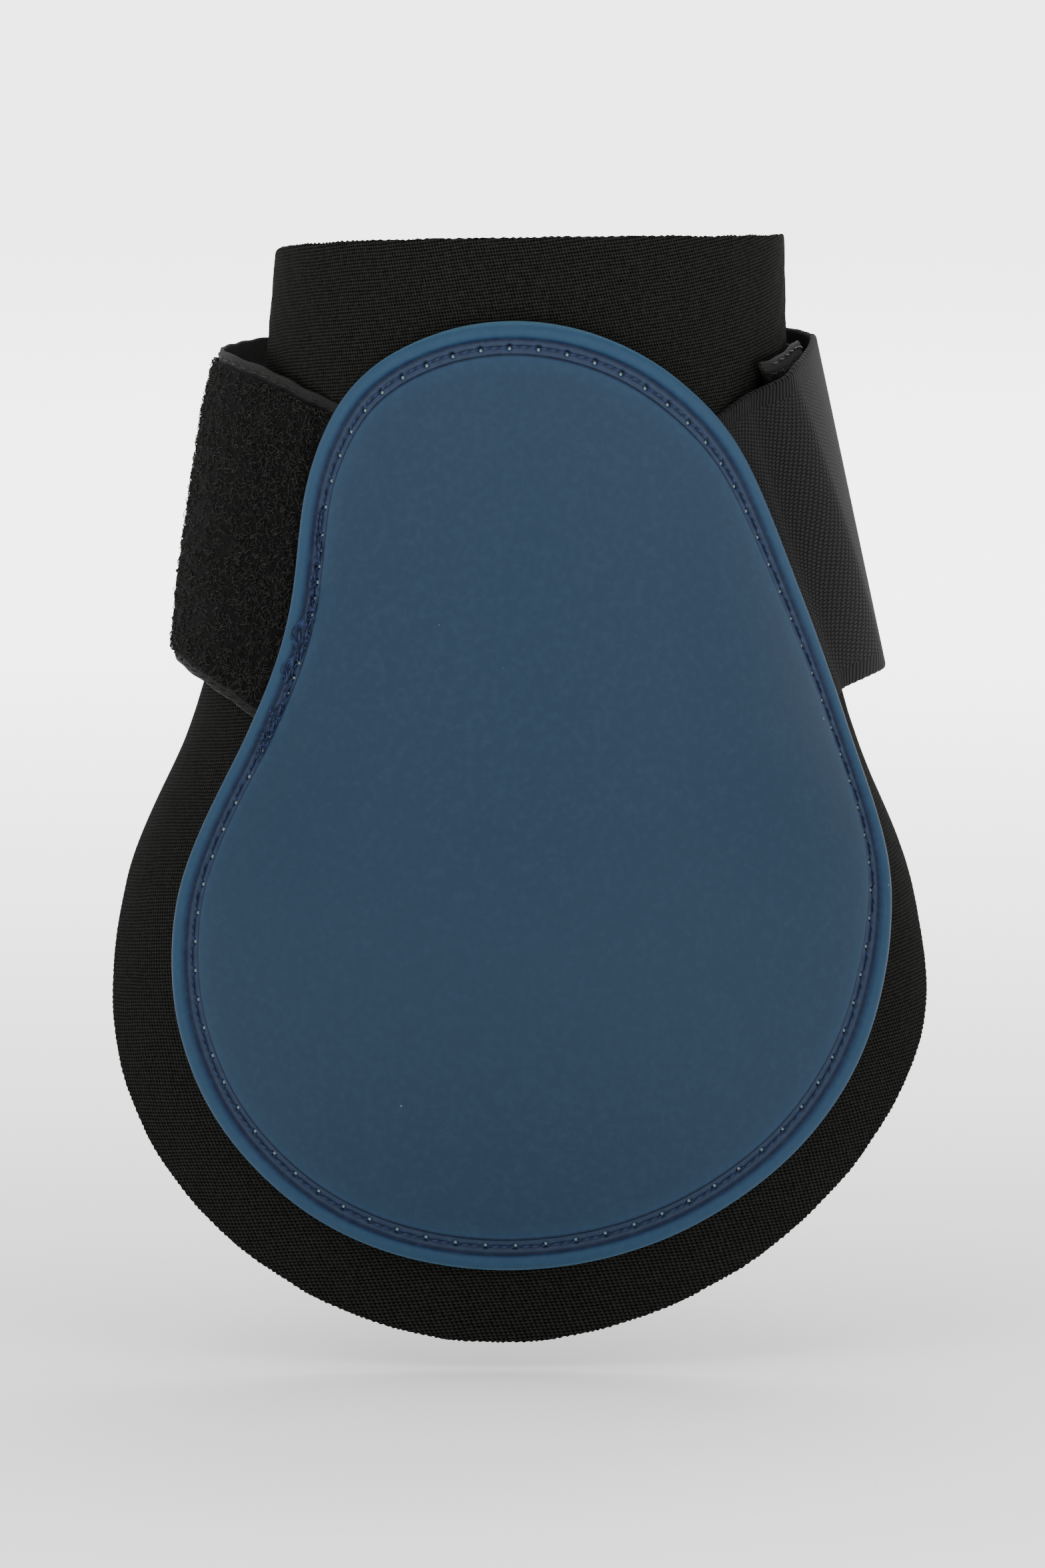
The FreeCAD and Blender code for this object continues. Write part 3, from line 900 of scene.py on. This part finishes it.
def make_pad():
    """Foam impact pad in its pocket between shell and liner."""
    edge = PAD_INSET + 0.6
    profile = [(1.0, PAD_INSET, 0.04), (0.5, PAD_INSET, 0.04), (0.0, edge, 0.04), (0, PAD_INSET + 0.1, 0.3),
               (0, PAD_INSET, 0.7), (0, PAD_INSET + 0.1, 1.1), (0, edge, 1.32)]
    profile += [(share, edge, 1.34) for share in (0.1, 0.3, 0.6, 1.0)]
    pad = disc("impact_pad_foam", SHELL, 360, profile, liner, finish("foam"), FIELD_CENTRE)
    settle(pad, "boot_body", "foam", "impact_pad")


# ---------------------------------------------------------------- liner

def liner_layer(low, high, fringe, overhang, seed):
    """One full layer of the liner as a closed disc, cut edge included."""
    middle = (low + high) / 2
    rings = [0.004, 0.012, 0.03, 0.06, 0.1, 0.15, 0.21, 0.28, 0.35, 0.43, 0.51, 0.6, 0.69, 0.79, 0.89, 1.0]
    profile = [(share, overhang + 0.3, low) for share in reversed(rings)]
    profile += [(0, overhang + 0.4, low), (0, overhang + 0.1, low + (middle - low) * 0.3),
                (0, overhang, middle), (0, overhang + 0.1, high - (high - middle) * 0.3),
                (0, overhang + 0.4, high)]
    profile += [(share, overhang + 0.3, high) for share in rings]

    def trim(share, inset, inwards, angle, height, offset):
        run = share * BOOT.length
        edge = smooth(1 - inwards / 0.004)
        saw = np.sin(run * 2 * math.pi / 0.92 + 1.3 * np.sin(run * 0.9)) * fringe
        hand = ripple(run, run * 0, seed, 34.0) * 0.2 + ripple(run, run * 0, seed + 1, 7.0) * 0.06
        soft = ripple(angle, height, seed + 2, 34.0) * 0.10
        angle, height = BOOT.at(share, inset + edge * saw + hand)
        return angle, height, offset + soft * (1 - edge * 0.5)

    return profile, trim


def make_layer(name, low, high, material, around, fringe, overhang, nodes, seed=3):
    """A layer of the liner in two halves, each bending with its own wing."""
    profile, trim = liner_layer(low, high, fringe, overhang, seed)
    whole = disc(name, BOOT, around, profile, liner, finish(material), LINER_CENTRE, None, trim, 60.0)
    data = whole.data
    for side, word in ((-1, "left"), (1, "right")):
        bm = bmesh.new()
        bm.from_mesh(data)
        cut = bmesh.ops.bisect_plane(
            bm, geom=bm.verts[:] + bm.edges[:] + bm.faces[:], dist=1e-7, plane_co=(-0.0005, 0, 0),
            plane_no=(side, 0, 0), clear_inner=True,
        )
        rim = [e for e in cut["geom_cut"] if isinstance(e, bmesh.types.BMEdge)]
        bmesh.ops.holes_fill(bm, edges=rim, sides=0)
        half = to_object(bm, bpy.data.meshes.new(name), name + "_" + word, finish(material), 60.0)
        fold = liner(side * WING_FOLD, 0.0, 0.0)
        run = liner(side * (WING_FOLD + WING_REACH), 0.0, 0.0)
        run = run - liner(side * (WING_FOLD - WING_REACH), 0.0, 0.0)
        run = square_to(word + "_wing_spread", run)
        start, end = tuple(fold - run * 0.5), tuple(fold + run * 0.5)
        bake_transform(half)
        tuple(start)
        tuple(end)
        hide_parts(*[n.format(word) for n in nodes])
    bpy.data.objects.remove(whole)
    bpy.data.meshes.remove(data)


def square_to(name, run):
    """The part of a run that is square to the axis of a joint of the frame."""
    found = [j for j in frame["record"]["behaviour"]["joints"] if j["name"] == name][0]
    axis = np.array(found["axis"], float)
    axis = axis / np.linalg.norm(axis)
    return run - axis * float(run @ axis)


def make_liner():
    """The liner's outer jersey, foam core and lining, from the outside in."""
    core = -LINER + JERSEY
    make_layer("outer_jersey", -JERSEY, 0.0, "knit_jersey", 1500, 0.13, 0.0,
               ("liner_outer_jersey", "{}_wing_outer_jersey"))
    make_layer("foam_core", core + 0.01, -JERSEY - 0.01, "neoprene", 500, 0.0, 0.25,
               ("liner_foam_core", "{}_wing_foam_core"))
    make_layer("inner_jersey", -LINER, core, "lining_knit", 1000, 0.10, 0.1,
               ("liner_inner_jersey", "{}_wing_inner_jersey"))


# ---------------------------------------------------------------- straps

def fold_line(place, angle, height, joint, reach, sense=1.0):
    """Start and end of a bend across a strap's hinge, square to the hinge."""
    here = place(angle, height, 0.5)
    run = place(angle + 0.5 * sense, height, 0.5) - place(angle - 0.5 * sense, height, 0.5)
    run = square_to(joint, run)
    run *= reach * MM / np.linalg.norm(run)
    return tuple(here - run), tuple(here + run)


def strap_ends(start, end):
    """Angle at each share along and across, between ends that may depend on the share across."""
    def angles(along, across):
        first = start(across) if callable(start) else start
        last = end(across) if callable(end) else end
        return first + (last - first) * along
    return angles


def make_elastic():
    """Elastic strap: from under the shell's right edge, round the back, to its folded tab."""
    cloth = finish("elastic_web")
    section = band_section(48, 0.011)

    def root(across):
        return elastic_hinge(-22.5 + 43.9 * np.clip(across, 0, 1)) - 17.0

    def wave(angle, across, height, offset):
        edge = np.abs(across - 0.5) > 0.45
        sway = ripple(angle * STRAP_RUN, angle * 0, 41, 21.0) * 0.22
        saw = np.sin(angle * STRAP_RUN * 2 * math.pi / 1.2) * 0.05
        return height + np.where(edge, saw, 0.0) + sway, offset

    def length_of(name, columns, shape, start, end, low, high):
        ends = strap_ends(start, end)
        return strip(name, elastic, columns, shape, ends, elastic_edges, cloth, low, high, wave)

    side = length_of("elastic_strap_front", 150, section, root, ELASTIC_SPLIT, 0.0, ELASTIC)
    start, end = fold_line(elastic, float(elastic_hinge(0.0)), 0.0, "elastic_strap_opening", 3.5)
    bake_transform(side)
    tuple(start)
    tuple(end)
    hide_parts("elastic_strap_tail", "elastic_strap_side")
    rear = length_of("elastic_strap_rear", 190, section, ELASTIC_SPLIT, TAB_SPLIT, 0.0, ELASTIC)
    start, end = fold_line(elastic, ELASTIC_KNEE, 4.8, "elastic_end_fold", 7.0)
    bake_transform(rear)
    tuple(start)
    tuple(end)
    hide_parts("elastic_strap_end")
    tab = length_of("elastic_pull_tab", 40, section, TAB_SPLIT, TAB_END, -0.02, ELASTIC + 0.02)
    fold = length_of("pull_tab_fold", 26, band_section(30, 0.014), TAB_FOLD + 1.2, TAB_END - 0.05,
                     ELASTIC + 0.04, 2 * ELASTIC - 0.1)
    start, end = fold_line(elastic, TAB_FOLD, 4.8, "pull_tab_peel", 2.5)
    for piece in (tab, fold):
        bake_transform(piece)
        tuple(start)
        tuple(end)
    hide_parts("pull_tab")
    for piece, width in ((side, 0.045), (rear, 0.0485), (tab, 0.0485)):
        flat_size(piece, width)


def flat_size(piece, width):
    """Length and width of a thin closed sheet of a known width, from the area of one face."""
    area = sum(face.area for face in piece.data.polygons) / 2
    return area / width, width


def hook_edges(angle):
    """Bottom and top of the hook tape."""
    return np.full_like(angle, -17.0), np.full_like(angle, 26.6)


def make_hook_patch():
    """Hook tape on the elastic's inner face, with its moulded hooks and box of stitches."""
    tape = strip("hook_tape_base", elastic, 70, band_section(20, 0.012), strap_ends(HOOK_START, HOOK_END),
                 hook_edges, finish("hook_tape"), -0.35, -0.03)
    stem_turn = np.array([0.0, 0.0, 0.18, 0.48, 0.62])
    stem_rise = np.array([-0.32, -0.62, -0.82, -0.84, -0.66])
    hooks = []
    for column in range(HOOK_COLUMNS):
        for row in range(HOOK_ROWS):
            angle = HOOK_START + 1.4 + column * HOOK_TURN + (row % 2) * 0.4
            hooks.append(elastic(angle + stem_turn, -15.8 + row * HOOK_RISE, stem_rise))
    field = tubes("hook_field", hooks, HOOK_STEM, 3, finish("hook_tape"))
    settle(tape, "elastic_end", "hook_tape", "hook_patch")
    settle(field, "elastic_end", "hook_tape")
    flat_size(tape, HOOK_TAPE_WIDTH)
    threads = []
    for height in (-15.4, 25.0):
        for angle in np.arange(HOOK_START + 1.5, HOOK_END - 2.5, 3.2):
            threads.append(stitch_on(elastic, angle, height, angle + 2.7, height, ELASTIC))
    for angle in (HOOK_START + 1.4, HOOK_END - 1.4):
        for height in np.arange(-14.6, 23.0, 2.7):
            threads.append(stitch_on(elastic, angle, height, angle, height + 2.3, ELASTIC))
    box = tubes("hook_patch_box_stitches", threads, PATCH_THREAD, 5, finish("black_thread"), 0.5)
    settle(box, "elastic_end", "black_thread", "hook_patch_stitches")


def stitch_on(place, angle, height, to_angle, to_height, surface, lift=0.14):
    """One stitch lying on a strap's face, sunk at both ends."""
    t = np.linspace(0, 1, 6)
    sink = 0.3 * (1 - np.sin(math.pi * t) ** 0.6)
    return place(angle + (to_angle - angle) * t, height + (to_height - height) * t, surface + lift - sink)


def pile_free_end(across):
    """Angle of the loop strap's free end at each share across."""
    return elastic_hinge(-22.0 + 49.0 * np.clip(across, 0, 1)) + PILE_END_BACK - 360.0


def make_pile():
    """Loop strap: webbing, pile tape with its plain edges, stitches and the loops themselves."""
    cloth = finish("webbing")
    backing = band_section(40, 0.010)
    face = band_section(60, 0.05)

    def wave(angle, across, height, offset):
        return height + ripple(angle * STRAP_RUN, angle * 0, 71, 26.0) * 0.25, offset

    def face_wave(angle, across, height, offset):
        run = angle * STRAP_RUN
        fuzz = ripple(run, height, 72, 1.9) * 0.10 + ripple(run, height, 73, 4.0) * 0.06
        fuzz = np.where(offset > PILE_BACKING + 0.45, fuzz, 0.0)
        return wave(angle, across, height, offset + fuzz)

    def face_edges(angle):
        bottom, top = pile_edges(angle)
        return bottom + 1.5, top - 1.6

    root = PILE_HINGE + 17.0
    hinge = fold_line(pile, PILE_HINGE, 0.0, "pile_strap_opening", 4.5, -1.0)
    knee = fold_line(pile, PILE_KNEE, 4.6, "pile_end_fold", 7.0, -1.0)
    spans = (
        ("front", root, PILE_SPLIT, "boot_body", "pile_side", hinge,
         ("pile_strap_tail", "pile_backing_side"), "pile_face_side", "pile_side_stitches", 200),
        ("rear", PILE_SPLIT, pile_free_end, "pile_side", "pile_end", knee,
         ("pile_backing_end",), "pile_face_end", "pile_end_stitches", 420),
    )
    for word, first, last, near, far, fold, backs, front, threads, columns in spans:
        tape_start = PILE_HINGE + 9.0 if word == "front" else first
        back = strip("pile_webbing_" + word, pile, columns // 2, backing, strap_ends(first, last),
                     pile_edges, cloth, 0.0, PILE_BACKING - 0.02, wave)
        tape = strip("pile_tape_" + word, pile, columns, face, strap_ends(tape_start, last), face_edges,
                     finish("pile_ground"), PILE_BACKING, PILE_BACKING + 0.62, face_wave)
        loops = make_loops(word, tape_start, last, face_edges)
        rows = make_pile_stitches(word, tape_start, last)
        for piece in (back, tape, loops, rows):
            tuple(fold[0])
            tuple(fold[1])
            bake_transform(piece)
        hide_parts(*backs)
        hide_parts(front)
        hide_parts(threads)
        for piece, width in ((back, 0.0455), (tape, 0.0422)):
            flat_size(piece, width)


def make_loops(word, first, last, edges):
    """Thousands of short brushed loops standing on the pile tape."""
    random = np.random.default_rng(91 if word == "front" else 92)
    count = int(bpy.context.scene.boot_straps.loops * (1.0 if word == "front" else 1.35))
    across = random.uniform(0.0, 1.0, count)
    end = last(across) if callable(last) else last
    angle = first + (end - first) * random.uniform(0.002, 0.998, count)
    bottom, top = edges(angle)
    height = bottom + (top - bottom) * across
    heading = random.uniform(0, 2 * math.pi, count)
    length = random.uniform(0.7, 1.9, count)
    tall = random.uniform(0.18, 0.55, count)
    tall += 0.3 * random.uniform(0.0, 1.0, count) ** 9
    curl = random.normal(0, 1.1, count)
    steps = 5
    centres = np.empty((count, steps, 3))
    for k in range(steps):
        t = k / (steps - 1)
        turn = heading + curl * (t - 0.5)
        reach = (t - 0.5) * length
        lift = PILE_BACKING + 0.45 + tall * math.sin(math.pi * (0.12 + 0.76 * t))
        here_angle = np.clip(angle + np.cos(turn) * reach / STRAP_RUN, end, first)
        here_height = np.clip(height + np.sin(turn) * reach, bottom + 0.1, top - 0.1)
        centres[:, k] = pile(here_angle, here_height, lift)
    radii = np.tile(np.array([0.055, 0.07, 0.075, 0.07, 0.05]) * MM, (count, 1))
    return tubes("pile_loops_" + word, centres, radii, 3, finish("loop_pile"))


def make_pile_stitches(word, first, last):
    """The two rows of stitches along the pile tape's plain edges."""
    threads = []
    for row in (0.8, -0.85):
        angle = first - 2.0 if word == "front" else first
        stop = float(last(0.0 if row > 0 else 1.0)) + 2.0 if callable(last) else last + 0.5
        while angle - STITCH_TURN > stop:
            bottom, top = pile_edges(angle)
            height = (bottom if row > 0 else top) + row
            threads.append(stitch_on(pile, angle, height, angle - STITCH_TURN, height, PILE_BACKING, 0.10))
            angle -= STITCH_PITCH
    return tubes("pile_tape_stitches_" + word, threads, TAPE_THREAD, 5, finish("black_thread"), 0.5)


# ---------------------------------------------------------------- stage

def make_stage():
    """Pale round floor that glows far off, soft white lamps and the long-lens camera."""
    s = bpy.context.scene.boot_stage
    bm = bmesh.new()
    level = Matrix.Translation((0, 0, CAD_BOX[0].z - s.drop))
    bmesh.ops.create_circle(bm, cap_ends=True, segments=96, radius=s.floor_radius, matrix=level)
    paper = Finish("pale_paper", base_color=(0.93, 0.93, 0.93, 1.0), roughness=0.9, specular_ior_level=0.1,
                   emission_strength=s.glow)
    far = paper.node("ShaderNodeVectorMath", {"operation": "LENGTH"}, {0: paper.place()}, 1)
    glow_stops = [(0.08, (0.05, 0.05, 0.05)), (0.7, (1.0, 1.0, 1.0))]
    paper.feed(emission_color=paper.ramp(far / GLOW_REACH, glow_stops))
    floor = to_object(bm, bpy.data.meshes.new("pale_floor"), "pale_floor", paper.material, 180.0)
    world = bpy.data.worlds.new("studio")
    bpy.context.scene.world = world
    world.use_nodes = True
    world.node_tree.nodes["Background"].inputs["Color"].default_value = (1.0, 1.0, 1.0, 1.0)
    world.node_tree.nodes["Background"].inputs["Strength"].default_value = s.ambient
    lamps = (
        ("key_light", (-0.9, -1.5, 1.3), 1.3, s.key),
        ("fill_light", (1.1, -1.4, 0.7), 1.2, s.key * 0.7),
        ("top_light", (0.0, -0.2, 1.7), 1.4, s.key * 0.8),
        ("back_light", (0.2, 1.4, 1.0), 1.0, s.key * 2.2),
    )
    centre = (CAD_BOX[0] + CAD_BOX[1]) / 2
    for name, place, size, power in lamps:
        light = bpy.data.lights.new(name, "AREA")
        light.size = size
        light.energy = power
        lamp = bpy.data.objects.new(name, light)
        lamp.location = place
        lamp.rotation_mode = "QUATERNION"
        lamp.rotation_quaternion = (Vector(place) - centre).to_track_quat("Z", "Y")
        bpy.context.collection.objects.link(lamp)
    camera = bpy.data.cameras.new("camera")
    camera.sensor_width = SENSOR
    camera.lens = SENSOR * s.distance / s.frame_height
    camera.clip_start = 0.1
    camera.clip_end = 50.0
    eye = bpy.data.objects.new("camera", camera)
    tilt = math.radians(s.elevation)
    look = Vector((0.0, math.cos(tilt), -math.sin(tilt)))
    up = Vector((0.0, math.sin(tilt), math.cos(tilt)))
    eye.location = -look * s.distance + up * s.centre_height + Vector((s.centre_side, 0, 0))
    eye.rotation_mode = "QUATERNION"
    eye.rotation_quaternion = (-look).to_track_quat("Z", "Y")
    bpy.context.collection.objects.link(eye)
    bpy.context.scene.camera = eye


# ---------------------------------------------------------------- add-on

def colour_setting(name, words, default):
    """A colour that the user may change."""
    return FloatVectorProperty(name=name, description=words, subtype="COLOR", size=3, min=0.0, max=1.0,
                               default=default)


def length_setting(name, words, default):
    """A length in metres that the user may change."""
    return FloatProperty(name=name, description=words, default=default, unit="LENGTH")


class ShellSettings(bpy.types.PropertyGroup):
    """Colours of the moulded shell"""

    colour: colour_setting("Shell colour", "Colour of the shell's field", tone(25, 44, 62))
    rim_colour: colour_setting("Rim colour", "Colour of the shell's raised rim", tone(27, 55, 77))


class SeamSettings(bpy.types.PropertyGroup):
    """Stitching of the shell"""

    stitches: IntProperty(name="Stitches", description="Lock stitches round the shell", default=86, min=20,
                          max=200)


class StrapSettings(bpy.types.PropertyGroup):
    """Loop pile of the closing strap"""

    loops: IntProperty(name="Loops", description="Brushed loops on the front stretch of pile",
                       default=4600, min=100, max=7500)


class StageSettings(bpy.types.PropertyGroup):
    """Camera, light and floor"""

    elevation: FloatProperty(name="Elevation", description="Camera's angle above the horizon, in degrees",
                             default=6.0)
    distance: length_setting("Distance", "Camera's distance from the boot", 2.5)
    frame_height: length_setting("Frame height", "Height of the view at the boot", 0.2283)
    centre_height: length_setting("Centre height", "Height of the view's centre", -0.03575)
    centre_side: length_setting("Centre side", "Sideways place of the view's centre", -0.0006)
    drop: length_setting("Floor drop", "Gap between the boot's toe and the floor", 0.004)
    floor_radius: length_setting("Floor radius", "Radius of the round floor", 40.0)
    ambient: FloatProperty(name="Ambient", description="Strength of the even white light", default=1.0,
                           min=0.0)
    key: FloatProperty(name="Key", description="Power of the main soft light, in watts", default=10.0,
                       min=0.0)
    glow: FloatProperty(name="Floor glow", description="Light given off by the floor far from the boot",
                        default=3.0, min=0.0)


SETTINGS = (
    ("boot_shell", ShellSettings),
    ("boot_seam", SeamSettings),
    ("boot_straps", StrapSettings),
    ("boot_stage", StageSettings),
)


def operator(key, label, words, *makers):
    """An Operator class that runs its makers in order."""
    def execute(self, context):
        for maker in makers:
            maker()
        return {"FINISHED"}

    name = "BOOT_OT_" + key
    return type(name, (bpy.types.Operator,), {
        "__doc__": words, "bl_idname": "boot." + key, "bl_label": label, "bl_options": {"REGISTER", "UNDO"},
        "execute": execute,
    })


OPERATORS = (
    operator("stage", "Set the Stage", "Add the pale floor, the soft lights and the camera", make_stage),
    operator("shell", "Make Shell", "Add the moulded strike shell", make_shell),
    operator("pad", "Make Impact Pad", "Add the foam pad under the shell", make_pad),
    operator("seam", "Sew Shell Seam", "Add the lock stitches, frayed ends and bobbin thread", make_seam,
             make_frayed_ends, make_bobbin),
    operator("liner", "Make Liner", "Add the jersey, foam and lining layers with their wings", make_liner),
    operator("elastic", "Make Elastic Strap", "Add the woven elastic strap and its pull tab", make_elastic),
    operator("hooks", "Make Hook Patch", "Add the hook tape and its stitches", make_hook_patch),
    operator("pile", "Make Loop Strap", "Add the webbing, pile tape and loops", make_pile),
)


class BOOT_PT_panel(bpy.types.Panel):
    """Lists the boot's settings and the operators that build it"""

    bl_label = "Fetlock Boot"
    bl_idname = "BOOT_PT_panel"
    bl_space_type = "VIEW_3D"
    bl_region_type = "UI"
    bl_category = "Boot"

    def draw(self, context):
        for name, group in SETTINGS:
            box = self.layout.box()
            box.label(text=group.__doc__)
            for key in group.__annotations__:
                box.prop(getattr(context.scene, name), key)
        for maker in OPERATORS:
            self.layout.operator(maker.bl_idname)


def register():
    for name, group in SETTINGS:
        bpy.utils.register_class(group)
        setattr(bpy.types.Scene, name, PointerProperty(type=group))
    for maker in OPERATORS:
        bpy.utils.register_class(maker)
    bpy.utils.register_class(BOOT_PT_panel)


def unregister():
    bpy.utils.unregister_class(BOOT_PT_panel)
    for maker in reversed(OPERATORS):
        bpy.utils.unregister_class(maker)
    for name, group in reversed(SETTINGS):
        delattr(bpy.types.Scene, name)
        bpy.utils.unregister_class(group)


def main():
    register()
    for maker in OPERATORS:
        group, name = maker.bl_idname.split(".")
        getattr(getattr(bpy.ops, group), name)()


if __name__ == "__main__":
    main()
